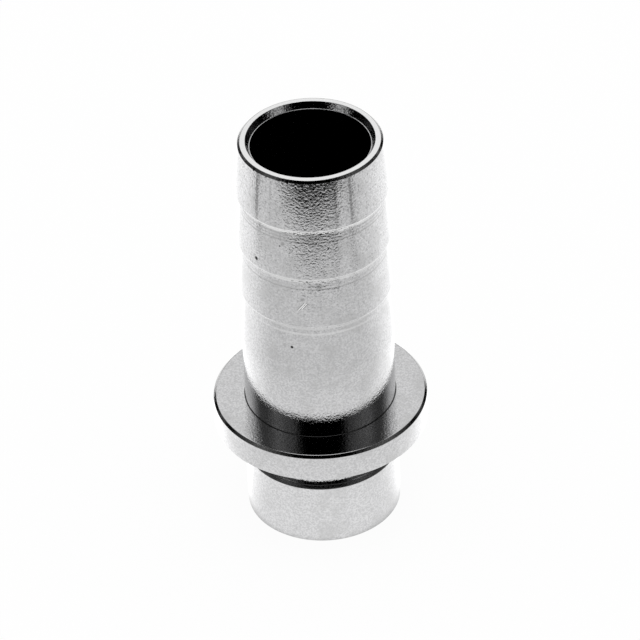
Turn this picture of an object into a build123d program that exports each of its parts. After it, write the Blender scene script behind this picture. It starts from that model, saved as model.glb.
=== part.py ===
from build123d import *
import math
import os

# Hose barb tail for a union nut, turned in one piece from stainless bar.
# A soft hose is pushed over the barbs, a loose nut pulls the collar on to its seat,
# and a flat gasket sits in the groove between the collar and the spigot.
# Origin: centre of the spigot's end face. +Z runs along the bore, towards the hose.

# Waterway
bore_diameter = 11.0
countersink_width = 0.4
countersink_angle = 60.0
bore_end_chamfer = 0.3

# Walls outside the bore
barb_root_wall = 1.1
groove_wall = 1.1

# Hose end
barb_count = 4
barb_pitch = 5.4
barb_height = 0.4
barb_crown = 0.025
rim_edge_break = 0.22

# Plain neck between the barbs and the collar
neck_length = 7.2
neck_above_crest = 0.05
neck_corner_radius = 0.08

# Collar that the nut pulls down
collar_diameter = 20.0
collar_thickness = 2.8
collar_top_chamfer = 0.25
collar_bottom_break = 0.06

# Gasket groove and spigot
groove_width = 3.4
groove_depth = 0.6
groove_corner_radius = 0.08
spigot_length = 6.4
spigot_edge_break = 0.15

# Two sizes closer than this are the same size
same = 1e-6

bore_radius = bore_diameter / 2
barb_root_radius = bore_radius + barb_root_wall
barb_crest_radius = barb_root_radius + barb_height
neck_radius = barb_crest_radius + neck_above_crest
collar_radius = collar_diameter / 2
groove_radius = bore_radius + groove_wall
spigot_radius = groove_radius + groove_depth

collar_underside = spigot_length + groove_width
collar_top = collar_underside + collar_thickness
neck_top = collar_top + neck_length
rim_height = neck_top + barb_count * barb_pitch
rim_edge_height = rim_height - rim_edge_break


def section_point(radius, height):
    """A point of the section, in the plane through the axis."""
    return Vector(radius, 0, height)


def plain_outline():
    """The straight runs below the barbs: spigot, groove, collar and neck."""
    corners = [
        (0, 0),
        (spigot_radius, 0),
        (spigot_radius, spigot_length),
        (groove_radius, spigot_length),
        (groove_radius, collar_underside),
        (collar_radius, collar_underside),
        (collar_radius, collar_top),
        (neck_radius, collar_top),
        (neck_radius, neck_top),
    ]
    return Polyline(*[section_point(radius, height) for radius, height in corners])


def barb_flank(foot, top):
    """The outside of one tooth, narrowing upwards with a slight crown."""
    swell = section_point(barb_crown, 0)
    return ThreePointArc(foot, (foot + top) / 2 + swell, top)


def barb_outline():
    """The teeth from the neck up: the lowest runs out into the neck, the others end in a square step."""
    lines = []
    foot = section_point(neck_radius, neck_top)
    for tooth in range(1, barb_count):
        step_height = neck_top + tooth * barb_pitch
        root = section_point(barb_root_radius, step_height)
        crest = section_point(barb_crest_radius, step_height)
        lines += [barb_flank(foot, root), Line(root, crest)]
        foot = crest
    return lines + [barb_flank(foot, section_point(barb_root_radius, rim_edge_height))]


def rim_outline():
    """The broken edge and the flat of the rim, then down the axis to the end face."""
    corners = [
        (barb_root_radius, rim_edge_height),
        (barb_root_radius - rim_edge_break, rim_height),
        (0, rim_height),
        (0, 0),
    ]
    return Polyline(*[section_point(radius, height) for radius, height in corners])


def turned_blank():
    """The closed outline, spun round the axis."""
    outline = Wire([*plain_outline().edges(), *barb_outline(), *rim_outline().edges()])
    return revolve(make_face(outline), Axis.Z)


def waterway():
    """The through bore, with a countersunk mouth at the rim and a chamfer at the spigot end."""
    mouth_radius = bore_radius + countersink_width
    mouth_depth = countersink_width / math.tan(math.radians(countersink_angle / 2))
    bottom = (bore_radius + bore_end_chamfer, 0)
    bottom_of_bore = (bore_radius, bore_end_chamfer)
    top_of_bore = (bore_radius, rim_height - mouth_depth)
    mouth = (mouth_radius, rim_height)
    corners = [(0, 0), bottom, bottom_of_bore, top_of_bore, mouth, (0, rim_height)]
    outline = Polyline(*[section_point(radius, height) for radius, height in corners], close=True)
    return revolve(make_face(outline), Axis.Z)


def ring_edge(body, radius, height):
    """The round edge of this radius at this height."""
    rings = body.edges().filter_by(GeomType.CIRCLE)
    level = [ring for ring in rings if abs(ring.arc_center.Z - height) < same]
    return [ring for ring in level if abs(ring.radius - radius) < same]


def finish_edges(body):
    """Breaks the sharp outer edges and leaves the tool's nose radius in the inner corners."""
    body = chamfer(ring_edge(body, collar_radius, collar_top), collar_top_chamfer)
    body = chamfer(ring_edge(body, collar_radius, collar_underside), collar_bottom_break)
    body = chamfer(ring_edge(body, spigot_radius, 0), spigot_edge_break)
    body = fillet(ring_edge(body, neck_radius, collar_top), neck_corner_radius)
    groove_corners = ring_edge(body, groove_radius, spigot_length)
    groove_corners += ring_edge(body, groove_radius, collar_underside)
    return fillet(groove_corners, groove_corner_radius)


hose_tail = finish_edges(turned_blank()) - waterway()

os.makedirs("parts", exist_ok=True)
export_step(hose_tail, "parts/hose_tail.step")
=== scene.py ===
import math

import bpy
from mathutils import Matrix, Vector


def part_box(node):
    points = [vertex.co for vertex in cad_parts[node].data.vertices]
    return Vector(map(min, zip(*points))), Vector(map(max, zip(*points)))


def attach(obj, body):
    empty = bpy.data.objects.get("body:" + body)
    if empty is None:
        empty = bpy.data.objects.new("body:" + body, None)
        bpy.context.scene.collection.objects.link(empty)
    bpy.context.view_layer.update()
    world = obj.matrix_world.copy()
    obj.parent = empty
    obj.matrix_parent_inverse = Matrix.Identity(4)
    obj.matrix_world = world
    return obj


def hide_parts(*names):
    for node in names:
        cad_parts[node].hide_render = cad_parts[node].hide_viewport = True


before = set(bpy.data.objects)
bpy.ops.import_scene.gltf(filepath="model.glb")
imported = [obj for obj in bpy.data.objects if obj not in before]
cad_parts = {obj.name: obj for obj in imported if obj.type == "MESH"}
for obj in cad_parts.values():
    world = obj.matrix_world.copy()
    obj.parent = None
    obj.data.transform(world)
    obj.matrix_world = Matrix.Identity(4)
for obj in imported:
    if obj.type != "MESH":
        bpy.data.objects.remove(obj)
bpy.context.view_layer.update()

cad_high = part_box("hose_tail")[1]

# ---------------------------------------------------------------------------
# The hose tail: one piece of bright stainless bar, turned on a lathe and bored through.
# Barbs, neck, collar, gasket groove and spigot are cut in one clamping, so every tool line
# runs round the axis. The sharp edges are broken, and handling has left small pits.

# Sizes of the tail are in mm
MM = 0.001
COLLAR_RADIUS = cad_high.x / MM
RIM_HEIGHT = cad_high.z / MM

BORE_RADIUS = 5.5
COUNTERSINK_WIDTH = 0.4
COUNTERSINK_HALF_ANGLE = math.radians(30)
BORE_LIP = 0.06
BORE_END_CHAMFER = 0.3
BARB_WALL = 1.1
GROOVE_WALL = 1.1

BARB_COUNT = 4
BARB_PITCH = 5.4
BARB_HEIGHT = 0.4
BARB_ROOT_RADIUS = BORE_RADIUS + BARB_WALL
BARB_CREST_RADIUS = BARB_ROOT_RADIUS + BARB_HEIGHT
TOP_BARB_CROWN = 0.04
LOWER_BARB_CROWN = 0.015
TOP_BARB_FOOT = RIM_HEIGHT - BARB_PITCH
RIM_BREAK = 0.22

NECK_ABOVE_CREST = 0.05
NECK_LENGTH = 7.2
NECK_RADIUS = BARB_CREST_RADIUS + NECK_ABOVE_CREST
NECK_TOP = RIM_HEIGHT - BARB_COUNT * BARB_PITCH

COLLAR_THICKNESS = 2.8
COLLAR_TOP = NECK_TOP - NECK_LENGTH
COLLAR_UNDERSIDE = COLLAR_TOP - COLLAR_THICKNESS
COLLAR_TOP_CHAMFER = 0.25
COLLAR_BOTTOM_BREAK = 0.06

GROOVE_WIDTH = 3.4
GROOVE_DEPTH = 0.6
GROOVE_RADIUS = BORE_RADIUS + GROOVE_WALL
SPIGOT_RADIUS = GROOVE_RADIUS + GROOVE_DEPTH
SPIGOT_LENGTH = COLLAR_UNDERSIDE - GROOVE_WIDTH
SPIGOT_BREAK = 0.15

# Roundings of the corners
TURNED_EDGE = 0.04
COLLAR_EDGE = 0.09
CREST_EDGE = 0.16
SPIGOT_EDGE = 0.06
LIP_EDGE = 0.008
NECK_CORNER = 0.04
GROOVE_CORNER = 0.05
ROOT_CORNER = 0.08

# Fine lines under each step, from the lowest step up: (distance under the step, depth)
TOOL_LINES = (
    ((0.38, 0.0015),),
    ((0.3, 0.003), (0.8, 0.0015), (1.17, 0.004)),
    ((0.36, 0.0035), (0.62, 0.0035), (0.95, 0.003), (1.27, 0.0045)),
)
TOOL_LINE_HALF_WIDTH = 0.11
LINED_DEPTH = 1.5

# How finely the mesh is cut
LINE_STEP = 0.05
FLANK_STEP = 0.3
LONGEST_RUN = 0.6
ARC_STEPS = 4
SUPPORT_GAP = 0.05
SUPPORT_SHARE = 1.5
SPIN_STEPS = 240


def tool_line_depth(lines, drop):
    """How deep the tool's dwell lines are cut at this distance under a step."""
    depth = 0
    for line_drop, line_depth in lines:
        off = abs(drop - line_drop) / TOOL_LINE_HALF_WIDTH
        if off < 1:
            depth += line_depth * (1 + math.cos(math.pi * off)) / 2
    return depth


def barb_flank(foot_radius, foot_height, top_height, crown, lines):
    """A flank from the crest at its foot up to the root of the next step, slightly crowned.
    Under a step the tool has dwelt and left a few fine lines."""
    rise = top_height - foot_height
    plain_rise = rise - LINED_DEPTH if lines else rise
    plain_steps = round(plain_rise / FLANK_STEP)
    climbs = [plain_rise * step / plain_steps for step in range(1, plain_steps)]
    if lines:
        line_steps = round(LINED_DEPTH / LINE_STEP)
        climbs += [plain_rise + LINED_DEPTH * step / line_steps for step in range(line_steps - 1)]
    points = []
    for climb in climbs:
        share = climb / rise
        straight = foot_radius + (BARB_ROOT_RADIUS - foot_radius) * share
        swell = 4 * crown * share * (1 - share)
        cut = tool_line_depth(lines, rise - climb)
        points.append((straight + swell - cut, foot_height + climb, 0))
    return points


def outside_corners():
    """(radius, height, rounding) of each corner, from the end face up to the rim."""
    corners = [
        (SPIGOT_RADIUS - SPIGOT_BREAK, 0, TURNED_EDGE),
        (SPIGOT_RADIUS, SPIGOT_BREAK, TURNED_EDGE),
        (SPIGOT_RADIUS, SPIGOT_LENGTH, SPIGOT_EDGE),
        (GROOVE_RADIUS, SPIGOT_LENGTH, GROOVE_CORNER),
        (GROOVE_RADIUS, COLLAR_UNDERSIDE, GROOVE_CORNER),
        (COLLAR_RADIUS - COLLAR_BOTTOM_BREAK, COLLAR_UNDERSIDE, TURNED_EDGE),
        (COLLAR_RADIUS, COLLAR_UNDERSIDE + COLLAR_BOTTOM_BREAK, TURNED_EDGE),
        (COLLAR_RADIUS, COLLAR_TOP - COLLAR_TOP_CHAMFER, TURNED_EDGE),
        (COLLAR_RADIUS - COLLAR_TOP_CHAMFER, COLLAR_TOP, COLLAR_EDGE),
        (NECK_RADIUS, COLLAR_TOP, NECK_CORNER),
        (NECK_RADIUS, NECK_TOP, 0),
    ]
    foot = (NECK_RADIUS, NECK_TOP)
    for tooth, lines in enumerate(TOOL_LINES, 1):
        step_height = NECK_TOP + tooth * BARB_PITCH
        corners += barb_flank(*foot, step_height, LOWER_BARB_CROWN, lines)
        corners.append((BARB_ROOT_RADIUS, step_height, ROOT_CORNER))
        corners.append((BARB_CREST_RADIUS, step_height, CREST_EDGE))
        foot = (BARB_CREST_RADIUS, step_height)
    corners += barb_flank(*foot, RIM_HEIGHT - RIM_BREAK, TOP_BARB_CROWN, ())
    corners.append((BARB_ROOT_RADIUS, RIM_HEIGHT - RIM_BREAK, TURNED_EDGE))
    corners.append((BARB_ROOT_RADIUS - RIM_BREAK, RIM_HEIGHT, TURNED_EDGE))
    return corners


def bore_corners():
    """The countersunk mouth with its small lip, the straight bore and the chamfer at its end."""
    lip_height = RIM_HEIGHT - (COUNTERSINK_WIDTH - BORE_LIP) / math.tan(COUNTERSINK_HALF_ANGLE)
    return [
        (BORE_RADIUS + COUNTERSINK_WIDTH, RIM_HEIGHT, TURNED_EDGE),
        (BORE_RADIUS + BORE_LIP, lip_height, LIP_EDGE),
        (BORE_RADIUS, lip_height, LIP_EDGE),
        (BORE_RADIUS, BORE_END_CHAMFER, TURNED_EDGE),
        (BORE_RADIUS + BORE_END_CHAMFER, 0, TURNED_EDGE),
    ]


def rounded_corner(before, corner, after):
    """Points round one corner: a support point, the arc, and another support point."""
    here = Vector(corner[:2])
    rounding = corner[2]
    if not rounding:
        return [here]
    back = (Vector(before[:2]) - here).normalized()
    ahead = (Vector(after[:2]) - here).normalized()
    half_angle = back.angle(ahead) / 2
    reach = rounding / math.tan(half_angle)
    centre = here + (back + ahead).normalized() * rounding / math.sin(half_angle)
    start = here + back * reach
    end = here + ahead * reach
    sweep = (start - centre).angle_signed(end - centre)
    turns = [Matrix.Rotation(-sweep * step / ARC_STEPS, 2) for step in range(ARC_STEPS + 1)]
    arc = [centre + turn @ (start - centre) for turn in turns]
    gap = min(SUPPORT_GAP, SUPPORT_SHARE * rounding)
    return [start + back * gap, *arc, end + ahead * gap]


def divided(points):
    """Adds points along the long runs, so that no facet is much longer than it is wide."""
    fine = []
    for start, end in zip(points, points[1:] + points[:1]):
        pieces = max(1, round((end - start).length / LONGEST_RUN))
        fine += [start.lerp(end, piece / pieces) for piece in range(pieces)]
    return fine


def turned_outline():
    """The closed outline of one side of the tail, as points (radius, height)."""
    corners = outside_corners() + bore_corners()
    points = []
    for place, corner in enumerate(corners):
        after = corners[(place + 1) % len(corners)]
        points += rounded_corner(corners[place - 1], corner, after)
    return divided(points)


def spun_mesh(name, outline):
    """Spins a closed outline round the Z axis."""
    turns = [2 * math.pi * step / SPIN_STEPS for step in range(SPIN_STEPS)]
    vertices = [
        (point.x * MM * math.cos(turn), point.x * MM * math.sin(turn), point.y * MM)
        for turn in turns
        for point in outline
    ]
    rows = len(outline)
    faces = []
    for step in range(SPIN_STEPS):
        near = step * rows
        far = (step + 1) % SPIN_STEPS * rows
        for row in range(rows):
            above = (row + 1) % rows
            faces.append((near + row, far + row, far + above, near + above))
    mesh = bpy.data.meshes.new(name)
    mesh.from_pydata(vertices, [], faces)
    mesh.polygons.foreach_set("use_smooth", [True] * len(faces))
    mesh.update()
    return mesh


def added(name, data):
    """A new object with this mesh or camera, in the scene."""
    made = bpy.data.objects.new(name, data)
    bpy.context.scene.collection.objects.link(made)
    return made


class Wire:
    """A shader value. Arithmetic on it adds Math nodes."""

    def __init__(self, shader, socket):
        self.shader = shader
        self.socket = socket

    def __add__(self, other):
        return self.shader.math("ADD", self, other)

    def __radd__(self, other):
        return self.shader.math("ADD", other, self)

    def __sub__(self, other):
        return self.shader.math("SUBTRACT", self, other)

    def __rsub__(self, other):
        return self.shader.math("SUBTRACT", other, self)

    def __mul__(self, other):
        return self.shader.math("MULTIPLY", self, other)

    def __rmul__(self, other):
        return self.shader.math("MULTIPLY", other, self)

    def __truediv__(self, other):
        return self.shader.math("DIVIDE", self, other)

    def __pow__(self, other):
        return self.shader.math("POWER", self, other)

    def __neg__(self):
        return self * -1.0

    def __abs__(self):
        return self.shader.math("ABSOLUTE", self, 0.0)

    def to(self, name):
        """Another output of the same node."""
        return Wire(self.shader, self.socket.node.outputs[name])


class Shader:
    """The node tree of a material or a world."""

    def __init__(self, owner):
        owner.use_nodes = True
        self.tree = owner.node_tree
        self.tree.nodes.clear()

    def node(self, kind, inputs=None, **settings):
        """Adds a node, sets it up, then gives each input its value or its link."""
        made = self.tree.nodes.new(kind)
        for name, value in settings.items():
            setattr(made, name, value)
        for name, value in (inputs or {}).items():
            if isinstance(value, Wire):
                self.tree.links.new(value.socket, made.inputs[name])
            else:
                made.inputs[name].default_value = value
        return Wire(self, made.outputs[0]) if made.outputs else made

    def math(self, operation, left, right):
        return self.node("ShaderNodeMath", {0: left, 1: right}, operation=operation)

    def ramp(self, value, low, high, low_value=0.0, high_value=1.0):
        """Eases from low_value to high_value as value goes from low to high."""
        inputs = {
            "Value": value,
            "From Min": low,
            "From Max": high,
            "To Min": low_value,
            "To Max": high_value,
        }
        return self.node("ShaderNodeMapRange", inputs, interpolation_type="SMOOTHSTEP")

    def between(self, value, rise, fall):
        """A band: rise and fall each give where it is 0 and where it is 1."""
        return self.ramp(value, *rise) * self.ramp(value, *fall)

    def blend(self, amount, first, second):
        """Mixes two colours."""
        inputs = {0: amount, 6: first, 7: second}
        return self.node("ShaderNodeMix", inputs, data_type="RGBA").to(2)

    def noise(self, vector, scale, detail):
        inputs = {"Vector": vector, "Scale": scale, "Detail": detail}
        return self.node("ShaderNodeTexNoise", inputs)

    def split(self, vector):
        """The X, Y and Z of a vector."""
        parts = self.node("ShaderNodeSeparateXYZ", {"Vector": vector})
        return [parts.to(name) for name in "XYZ"]

    def hypotenuse(self, first, second):
        return (first * first + second * second) ** 0.5

    def degrees_round(self, x, y):
        """Degrees round the Z axis from the front, rising towards +X."""
        return self.math("ARCTAN2", x, -y) * (180 / math.pi)


# Noise this fine all ways, to the metre
GRAIN_SCALE = 5500
CLOUD_SCALE = 450
# Noise drawn out round the axis: how fine round it, and how fine across it to the mm
SPECKLE = (30, 7)


class Steel(Shader):
    """The steel's node tree, with where each point lies on the tail, in mm and degrees."""

    def __init__(self, material):
        super().__init__(material)
        place = self.node("ShaderNodeTexCoord").to("Object")
        self.x, self.y, self.z = [part / MM for part in self.split(place)]
        self.radius = self.hypotenuse(self.x, self.y)
        self.turn = self.degrees_round(self.x, self.y)
        self.grain = self.noise(place, GRAIN_SCALE, 3)
        self.cloud = self.noise(place, CLOUD_SCALE, 6)
        self.speckle = self.drawn_noise(*SPECKLE, 2)

    def drawn_noise(self, round_axis, across, detail):
        """Noise drawn out round the axis, with no seam."""
        place = self.node("ShaderNodeCombineXYZ", {
            "X": self.x / self.radius * round_axis,
            "Y": self.y / self.radius * round_axis,
            "Z": (self.z + self.radius) * across,
        })
        return self.noise(place, 1, detail)

    def from_mark(self, turn, height):
        """Distances in mm from a mark, round the tail and up it."""
        return (self.turn - turn) * (math.pi / 180 * BARB_CREST_RADIUS), self.z - height


# The limits of a mask are where it is clear and where it is full. Two more numbers, if it
# has them, are how strong it is at each.

STEEL = (0.61, 0.61, 0.615, 1)
STEEL_GRAIN = (0.48, 0.48, 0.485, 1)
GRAIN_LIMITS = (0.35, 0.65)
STEEL_STAIN = (0.46, 0.46, 0.46, 1)
STAIN_LIMITS = (0.46, 0.68)
STAIN_STRENGTH = 0.55


def grained(steel):
    """Bright steel with a fine grain and faint stains."""
    colour = steel.blend(steel.ramp(steel.grain, *GRAIN_LIMITS), STEEL, STEEL_GRAIN)
    stained = steel.ramp(steel.cloud, *STAIN_LIMITS) * STAIN_STRENGTH
    return steel.blend(stained, colour, STEEL_STAIN)


# The dark colour of the real specks, also used for the painted dark reflection streaks and the
# painted shadow beside the scratches
SPECK_AND_SHADE = (0.24, 0.24, 0.24, 1)
SPECK_STRENGTH = 0.6
SPECK_LIMITS = (0.54, 0.63)
HANDLED_HEIGHT = (NECK_TOP, TOP_BARB_FOOT, 0.25, 1.0)
STREAKY = (30, 0.35)
STREAKY_LIMITS = (0.4, 0.62, 0.35, 1.0)

# Painted dark reflection streaks on the top barb: degrees round from the front, half width
# in degrees, strength
DARK_REFLECTION_STREAKS = ((-46.8, 1.6, 0.9), (17.5, 1.3, 0.7), (30.2, 1.4, 0.8), (-34.0, 1.0, 0.3))
STREAK_CORE = 0.4
STREAK_WAVER = 3
STREAK_HEIGHT = (TOP_BARB_FOOT - 0.6, TOP_BARB_FOOT + 1.5)
STREAK_BREAKS = (0.3, 0.6, 0.4, 1.0)


def specked(steel, colour):
    """Dark specks, more where it is handled, and a few painted dark reflection streaks on the top
    barb.
    """
    streaky = steel.drawn_noise(*STREAKY, 2)
    specks = steel.ramp(steel.speckle, *SPECK_LIMITS) * steel.ramp(streaky, *STREAKY_LIMITS)
    specks = specks * steel.ramp(steel.z, *HANDLED_HEIGHT)
    colour = steel.blend(specks * SPECK_STRENGTH, colour, SPECK_AND_SHADE)
    on_top_barb = steel.ramp(steel.z, *STREAK_HEIGHT)
    broken = steel.ramp(steel.speckle, *STREAK_BREAKS)
    wavering = steel.turn + (streaky - 0.5) * STREAK_WAVER
    for turn, half_width, strength in DARK_REFLECTION_STREAKS:
        # Each streak is a painted dark reflection, at a fixed turn from the front
        drawn = steel.ramp(abs(wavering - turn), half_width, half_width * STREAK_CORE) * strength
        colour = steel.blend(drawn * on_top_barb * broken, colour, SPECK_AND_SHADE)
    return colour


# Darker colour in the tool lines, more where a line is deeper
LINE_DARK = (0.34, 0.34, 0.34, 1)
LINE_DARK_STRENGTH = 0.7
LINE_DARK_CORE = 0.02
DEEPEST_LINE = 0.0045

# Painted highlights on the crest and lines of each step, from the lowest up: half width in mm,
# strength, and the distances under the step in mm
BRIGHT_LINES = (
    (0.15, 0.4, (-0.05, 0.34, 0.93)),
    (0.17, 0.7, (-0.05, 0.34)),
    (0.19, 1.0, (-0.05, 0.34)),
)
LINE_HIGHLIGHT = (0.78, 0.78, 0.78, 1)
BRIGHT_CORE = 0.05
HIGHLIGHT_TURN = (25, 65, 1.0, 0.2)


def tool_lined(steel, colour):
    """Darker colour in the lines where the tool dwelt, more where a line is deeper, and painted
    highlights on the crests and lines beside them. The higher steps get wider and brighter
    painted highlights, and all of them are strongest at the front."""
    line_darkening = 0.0
    highlights = 0.0
    for step, (lines, bright_lines) in enumerate(zip(TOOL_LINES, BRIGHT_LINES), 1):
        step_height = NECK_TOP + step * BARB_PITCH
        half_width, strength, drops = bright_lines
        for drop in drops:
            off = abs(steel.z - (step_height - drop))
            highlights = highlights + steel.ramp(off, half_width, BRIGHT_CORE) * strength
        for drop, depth in lines:
            off = abs(steel.z - (step_height - drop))
            line = steel.ramp(off, TOOL_LINE_HALF_WIDTH, LINE_DARK_CORE)
            line_darkening = line_darkening + line * (depth / DEEPEST_LINE)
    colour = steel.blend(line_darkening * LINE_DARK_STRENGTH, colour, LINE_DARK)
    # The painted highlights are weighted strongest at the front
    front_weight = steel.ramp(abs(steel.turn), *HIGHLIGHT_TURN)
    return steel.blend(highlights * front_weight, colour, LINE_HIGHLIGHT)


FACED_RIM = (0.75, 0.75, 0.75, 1)
RIM_FACE = (RIM_HEIGHT - 0.02, RIM_HEIGHT - 0.01)

# Painted dark reflection on the broken edges of the rim and the collar, where they mirror the
# dark room; also the colour of the painted shade lines
EDGE_DARK_REFLECTION = (0.3, 0.3, 0.3, 1)
RIM_EDGE_FOOT = RIM_HEIGHT - RIM_BREAK
RIM_EDGE = ((RIM_EDGE_FOOT, RIM_EDGE_FOOT + 0.03), (RIM_HEIGHT - 0.01, RIM_HEIGHT - 0.03))
RIM_OUTSIDE = (BORE_RADIUS + 0.6, BORE_RADIUS + 0.7)
COLLAR_CUT_FOOT = COLLAR_TOP - COLLAR_TOP_CHAMFER
COLLAR_CUT = (
    (COLLAR_CUT_FOOT, COLLAR_CUT_FOOT + 0.03),
    (COLLAR_TOP - 0.03, COLLAR_TOP - 0.07),
)
COLLAR_OUTSIDE = (COLLAR_RADIUS - 1, COLLAR_RADIUS - 0.9)

# Painted shade: the dark line where the flat meets the broken edge, painted at the back only
SHADE_LINE_STRENGTH = 0.8
RIM_FACE_RADIUS = BARB_ROOT_RADIUS - RIM_BREAK
RIM_LINE = (RIM_FACE_RADIUS - 0.07, RIM_FACE_RADIUS - 0.03)
RIM_LINE_BACK = (-1.0, 2.0)
COLLAR_FACE_RADIUS = COLLAR_RADIUS - COLLAR_TOP_CHAMFER
COLLAR_LINE = (COLLAR_FACE_RADIUS - 0.07, COLLAR_FACE_RADIUS - 0.03)
COLLAR_LINE_HEIGHT = (COLLAR_TOP - 0.03, COLLAR_TOP - 0.01)
COLLAR_LINE_BACK = (2.0, 4.0)

# Painted shade in the corner at the neck's foot
NECK_FOOT_SHADE = (0.08, 0.08, 0.08, 1)
NECK_FOOT_HEIGHT = (
    (COLLAR_TOP - 0.02, COLLAR_TOP - 0.01),
    (COLLAR_TOP + 0.11, COLLAR_TOP + 0.06),
)
NECK_FOOT_RADIUS = (NECK_RADIUS + 0.09, NECK_RADIUS + 0.06)
# Painted shade on the lower face of the collar
UNDERSIDE_SHADE = (0.08, 0.08, 0.08, 1)
UNDERSIDE_OFF = (0.02, 0.01)


def edges_cut(steel, colour):
    """The bright faced rim, a painted dark reflection on the broken edges of the rim and the
    collar, a painted shade line at their back, and painted shade in the corner at the neck's
    foot and under the collar."""
    rim_face = steel.ramp(steel.z, *RIM_FACE)
    colour = steel.blend(rim_face, colour, FACED_RIM)

    collar_edge = steel.between(steel.z, *COLLAR_CUT) * steel.ramp(steel.radius, *COLLAR_OUTSIDE)
    rim_edge = steel.between(steel.z, *RIM_EDGE) * steel.ramp(steel.radius, *RIM_OUTSIDE)
    colour = steel.blend(collar_edge + rim_edge, colour, EDGE_DARK_REFLECTION)

    rim_shade_line = steel.ramp(steel.radius, *RIM_LINE) * rim_face
    rim_shade_line = rim_shade_line * steel.ramp(steel.y, *RIM_LINE_BACK)
    collar_shade_line = steel.ramp(steel.radius, *COLLAR_LINE)
    collar_shade_line = collar_shade_line * steel.ramp(steel.z, *COLLAR_LINE_HEIGHT)
    collar_shade_line = collar_shade_line * steel.ramp(steel.y, *COLLAR_LINE_BACK)
    colour = steel.blend((rim_shade_line + collar_shade_line) * SHADE_LINE_STRENGTH, colour, EDGE_DARK_REFLECTION)

    neck_foot_shade = steel.between(steel.z, *NECK_FOOT_HEIGHT)
    neck_foot_shade = neck_foot_shade * steel.ramp(steel.radius, *NECK_FOOT_RADIUS)
    colour = steel.blend(neck_foot_shade, colour, NECK_FOOT_SHADE)
    underside_shade = steel.ramp(abs(steel.z - COLLAR_UNDERSIDE), *UNDERSIDE_OFF)
    return steel.blend(underside_shade, colour, UNDERSIDE_SHADE)


# Marks of handling: degrees round from the front, height in mm, size in mm
PITS = (
    (-49.7, 31.61, 0.24),
    (-20.8, 22.71, 0.17),
    (10.3, 33.93, 0.1),
    (-27.5, 34.0, 0.1),
    (-51.6, 41.2, 0.16),
    (-19.5, 41.2, 0.16),
    (-38.0, 41.15, 0.09),
    (27.0, 41.2, 0.1),
)
PIT = (0.01, 0.01, 0.01, 1)
PIT_CORE = 0.55
SCUFFS = ((2.3, 29.69, 0.4), (-25.2, 34.3, 0.3), (-11.0, 28.3, 0.25))
SCUFF = (0.3, 0.3, 0.3, 1)
SCUFF_STRENGTH = 0.8
SCUFF_CORE = 0.3
SCUFF_RAGGED = 0.6
# Scratches are real marks; their bright colour is partly a painted highlight, and the darker band
# beside them is a painted shadow
SCRATCHES = ((-11.5, 27.55, 0.5), (-9.6, 27.6, 0.35))
SCRATCH_AND_GLINT = (0.95, 0.95, 0.95, 1)
SCRATCH_WIDTH = 0.1
SCRATCH_CORE = 0.01
SCRATCH_TAPER = 0.7
SCRATCH_LEAN = 0.8


def marked(steel, colour):
    """Small pits, ragged scuffs, and scratches painted bright, partly as a painted highlight,
    with a painted shadow beside them.
    """
    pitted = 0.0
    for turn, height, size in PITS:
        off = steel.hypotenuse(*steel.from_mark(turn, height))
        pitted = pitted + steel.ramp(off, size, size * PIT_CORE)
    colour = steel.blend(pitted, colour, PIT)
    scuffed = 0.0
    for turn, height, size in SCUFFS:
        off = steel.hypotenuse(*steel.from_mark(turn, height))
        off = off + (steel.grain - 0.5) * SCUFF_RAGGED
        scuffed = scuffed + steel.ramp(off, size, size * SCUFF_CORE)
    colour = steel.blend(scuffed * SCUFF_STRENGTH, colour, SCUFF)
    scratch_and_glint = 0.0
    scratch_shadow = 0.0
    for turn, height, length in SCRATCHES:
        along, up = steel.from_mark(turn, height)
        side = abs(along - up * SCRATCH_LEAN)
        extent = steel.ramp(abs(up), length, length * SCRATCH_TAPER)
        scratch_and_glint = scratch_and_glint + steel.ramp(side, SCRATCH_WIDTH, SCRATCH_CORE) * extent
        scratch_shadow = scratch_shadow + steel.ramp(side, SCRATCH_WIDTH * 2, SCRATCH_WIDTH) * extent
    colour = steel.blend(scratch_shadow, colour, SPECK_AND_SHADE)
    return steel.blend(scratch_and_glint, colour, SCRATCH_AND_GLINT)


# The chatter is deepest on the top barb
RELIEF_DEPTH = 0.018 * MM
CHATTER = (28, 5)
CHATTER_HEIGHT = (NECK_TOP + BARB_PITCH, RIM_HEIGHT - BARB_PITCH * 0.8, 0.5, 1.5)
FEED = (3, 11)
FEED_DEPTH = 0.2
GRAIN_DEPTH = 0.8
OFF_COLLAR_TOP = (0.06, 0.14)
INSIDE_COLLAR_EDGE = (COLLAR_RADIUS - 0.3, COLLAR_RADIUS - 0.4)


def relief(steel):
    """The height of the chatter, the feed lines and the grain. The collar's edge is smooth."""
    chatter = steel.drawn_noise(*CHATTER, 2)
    feed = steel.drawn_noise(*FEED, 1)
    height = (chatter - 0.5) * steel.ramp(steel.z, *CHATTER_HEIGHT)
    height = height + (feed - 0.5) * FEED_DEPTH + (steel.grain - 0.5) * GRAIN_DEPTH
    off_edge = steel.ramp(abs(steel.z - COLLAR_TOP), *OFF_COLLAR_TOP)
    off_edge = off_edge + steel.ramp(steel.radius, *INSIDE_COLLAR_EDGE)
    return height * steel.math("MINIMUM", off_edge, 1.0)


# Roughness, which follows the clouds of the stains
POLISH = (0.3, 0.7, 0.035, 0.055)
ANISOTROPY = 0.4
ANISOTROPY_TURN = 0.25


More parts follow.
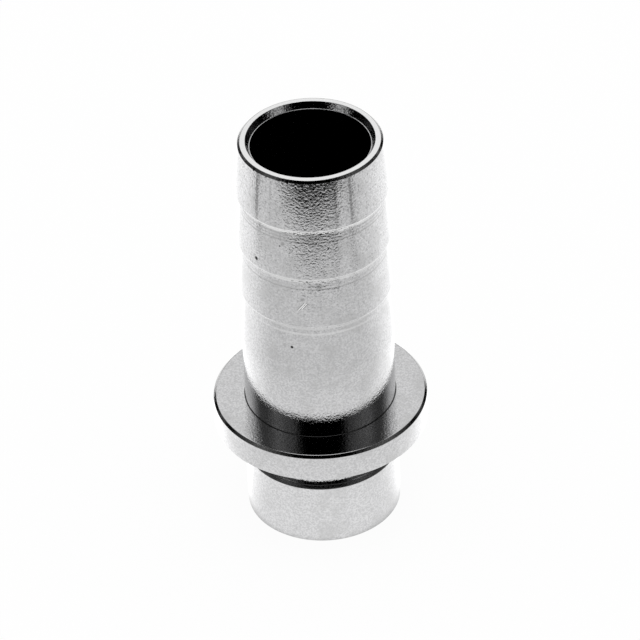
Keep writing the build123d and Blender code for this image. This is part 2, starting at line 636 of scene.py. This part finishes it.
def turned_steel():
    """Bright turned steel, lightly handled."""
    material = bpy.data.materials.new("turned_steel")
    steel = Steel(material)
    colour = grained(steel)
    colour = specked(steel, colour)
    colour = tool_lined(steel, colour)
    colour = edges_cut(steel, colour)
    colour = marked(steel, colour)
    bump = steel.node("ShaderNodeBump", {
        "Height": relief(steel),
        "Strength": 1.0,
        "Distance": RELIEF_DEPTH,
    })
    finish = steel.node("ShaderNodeBsdfPrincipled", {
        "Base Color": colour,
        "Metallic": 1.0,
        "Roughness": steel.ramp(steel.cloud, *POLISH),
        "Anisotropic": ANISOTROPY,
        "Anisotropic Rotation": ANISOTROPY_TURN,
        "Normal": bump,
    })
    steel.node("ShaderNodeOutputMaterial", {"Surface": finish})
    return material


hose_tail = added("hose_tail_turned", spun_mesh("hose_tail_turned", turned_outline()))
hose_tail.data.materials.append(turned_steel())
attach(hose_tail, "root")
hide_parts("hose_tail")

# ---------------------------------------------------------------------------
# The table: a white paper sweep. Its front edge, out of view, is where the white stops and
# the dark room begins, so the top barb mirrors a dark patch at its front.

FLOOR_HALF = 1.5
PAPER = (0.9, 0.9, 0.9, 1)
WHITE = (1, 1, 1, 1)
SEEN_WHITE = 0.95

# What the steel mirrors of it: from where, to where, and how bright at each if not 0 and 1
NEAR_GLOW = (12 * MM, 38 * MM, 1.2, 0.93)
BACK_GLOW = (-0.5, 0.55, 1.0, 1.5)
# Painted shadow: the table is dark under the tail in what the steel mirrors
SHADOW_UNDER_TAIL = (6 * MM, 8 * MM)
SWEEP_REACH = 190 * MM
SWEEP_END = (SWEEP_REACH * 1.3, SWEEP_REACH, 0.4, 1.0)
FRONT_EDGE = -75.5 * MM
EDGE_BLUR = 1.5 * MM
BEYOND_EDGE = (FRONT_EDGE - 55 * MM, FRONT_EDGE - 110 * MM, 0.0, 0.3)
# Feet of the stand in front: degrees round from the front, half width in degrees, depth
STAND_FEET = ((-85, 5, 0.9), (30.5, 5, 0.8), (56.5, 5, 0.8))
FEET_FROM = (60 * MM, 72 * MM)


def mirrored_white(shader):
    """How bright each point of the table is in a mirror."""
    x, y, _ = shader.split(shader.node("ShaderNodeTexCoord").to("Object"))
    distance = shader.hypotenuse(x, y)
    white = shader.ramp(distance, *NEAR_GLOW) * shader.ramp(y / distance, *BACK_GLOW)
    sweep = shader.ramp(y, FRONT_EDGE - EDGE_BLUR, FRONT_EDGE + EDGE_BLUR)
    white = white * (sweep + (1 - sweep) * shader.ramp(y, *BEYOND_EDGE))
    white = white * shader.ramp(distance, *SWEEP_END) * shader.ramp(distance, *SHADOW_UNDER_TAIL)
    turn = shader.degrees_round(x, y)
    for foot_turn, half_width, depth in STAND_FEET:
        foot = shader.ramp(abs(turn - foot_turn), half_width, 0.0)
        foot = foot * shader.ramp(distance, *FEET_FROM)
        white = white * (1 - foot * depth)
    return white


def white_sweep():
    """White paper, which looks plain white and is mirrored with its edges and shadows."""
    material = bpy.data.materials.new("white_sweep")
    shader = Shader(material)
    white = mirrored_white(shader)
    grey = shader.node("ShaderNodeCombineColor", {"Red": white, "Green": white, "Blue": white})
    paper = shader.node("ShaderNodeBsdfDiffuse", {"Color": PAPER})
    seen = shader.node("ShaderNodeEmission", {"Color": WHITE, "Strength": 1.0})
    mirrored = shader.node("ShaderNodeEmission", {"Color": grey, "Strength": 1.0})
    light_path = shader.node("ShaderNodeLightPath")
    plain = light_path.to("Is Camera Ray") * SEEN_WHITE + light_path.to("Is Transmission Ray")
    view = shader.node("ShaderNodeMixShader", {"Fac": plain, 1: paper, 2: seen})
    glossy = light_path.to("Is Glossy Ray")
    view = shader.node("ShaderNodeMixShader", {"Fac": glossy, 1: view, 2: mirrored})
    shader.node("ShaderNodeOutputMaterial", {"Surface": view})
    return material


quarters = ((-1, -1), (1, -1), (1, 1), (-1, 1))
floor_corners = [(x * FLOOR_HALF, y * FLOOR_HALF, 0) for x, y in quarters]
floor_mesh = bpy.data.meshes.new("floor")
floor_mesh.from_pydata(floor_corners, [], [(0, 1, 2, 3)])
floor = added("floor", floor_mesh)
floor_mesh.materials.append(white_sweep())

# ---------------------------------------------------------------------------
# The light: a white wall behind and round the sides, and a bright ceiling overhead. It is
# open towards the camera, where the room is dark but for some clutter at each side.

# Where a light ends and where it is full, in degrees round from the front, or in height,
# where 1 is straight up
WALL_TURN = (107, 142)
WALL_FOOT = (0.16, 0.34)
WALL_HEAD = (0.9, 0.8)
WALL_STRENGTH = 0.95
OVERHEAD_HEIGHT = (0.9, 0.96)
OVERHEAD_STRENGTH = 1.6
LOW_SIDE_TURN = ((41, 44), (70, 65))
LOW_SIDE_HEIGHT = ((0.12, 0.2), (0.46, 0.4))
LOW_SIDE_STRENGTH = 0.6
# The upper part of the sides brightens in two steps, and fades again: from, to, and what
# is added at each
HIGH_SIDE_TURN = ((34, 42, 0, 0.1), (42, 72, 0, 0.12), (77, 91, 0, -0.13))
HIGH_SIDE_HEIGHT = ((0.4, 0.46), (0.78, 0.68))
CLUTTER_SCALE = 55
CLUTTER = (0.4, 0.6, 0.15, 1.9)


def room_strength(shader):
    """How bright the room is in each direction, as the steel mirrors it."""
    direction = shader.node("ShaderNodeTexCoord").to("Generated")
    x, y, z = shader.split(direction)
    turn = shader.degrees_round(abs(x), y)
    wall = shader.ramp(turn, *WALL_TURN) * shader.between(z, WALL_FOOT, WALL_HEAD)
    overhead = shader.ramp(z, *OVERHEAD_HEIGHT)
    low_side = shader.between(turn, *LOW_SIDE_TURN) * shader.between(z, *LOW_SIDE_HEIGHT)
    high_side = 0.0
    for limits in HIGH_SIDE_TURN:
        high_side = high_side + shader.ramp(turn, *limits)
    high_side = high_side * shader.between(z, *HIGH_SIDE_HEIGHT)
    clutter = shader.ramp(shader.noise(direction, CLUTTER_SCALE, 4), *CLUTTER)
    sides = (low_side * LOW_SIDE_STRENGTH + high_side) * clutter
    return wall * WALL_STRENGTH + overhead * OVERHEAD_STRENGTH + sides


def studio_light():
    """The room for what is mirrored, and plain white for the view and for matt surfaces."""
    world = bpy.data.worlds.new("studio")
    bpy.context.scene.world = world
    shader = Shader(world)
    light_path = shader.node("ShaderNodeLightPath")
    seen = light_path.to("Is Camera Ray")
    plain = shader.math("MAXIMUM", seen, light_path.to("Is Diffuse Ray"))
    strength = plain + (1 - plain) * room_strength(shader)
    glow = shader.node("ShaderNodeBackground", {"Color": WHITE, "Strength": strength})
    shader.node("ShaderNodeOutputWorld", {"Surface": glow})


studio_light()

# ---------------------------------------------------------------------------
# The camera: a long lens on a stand, above and in front of the tail. It is rolled slightly
# on its axis, so the tail leans a little in the frame.

CAMERA_ELEVATION = math.radians(37.78)
CAMERA_DISTANCE = 450 * MM
CAMERA_ROLL = math.radians(2.32)
CAMERA_TARGET = Vector((0.232, 0, 20.763)) * MM
LENS_MM = 273.6
SENSOR_MM = 36
NEAREST_SEEN = 10 * MM

camera_data = bpy.data.cameras.new("camera")
camera_data.lens = LENS_MM
camera_data.sensor_width = SENSOR_MM
camera_data.clip_start = NEAREST_SEEN
camera = added("camera", camera_data)
upright = Matrix.Rotation(math.pi / 2 - CAMERA_ELEVATION, 4, "X")
camera.matrix_world = upright @ Matrix.Rotation(-CAMERA_ROLL, 4, "Z")
away_from_tail = Vector((0, -math.cos(CAMERA_ELEVATION), math.sin(CAMERA_ELEVATION)))
camera.location = CAMERA_TARGET + away_from_tail * CAMERA_DISTANCE
bpy.context.scene.camera = camera
bpy.context.scene.view_settings.view_transform = "Standard"
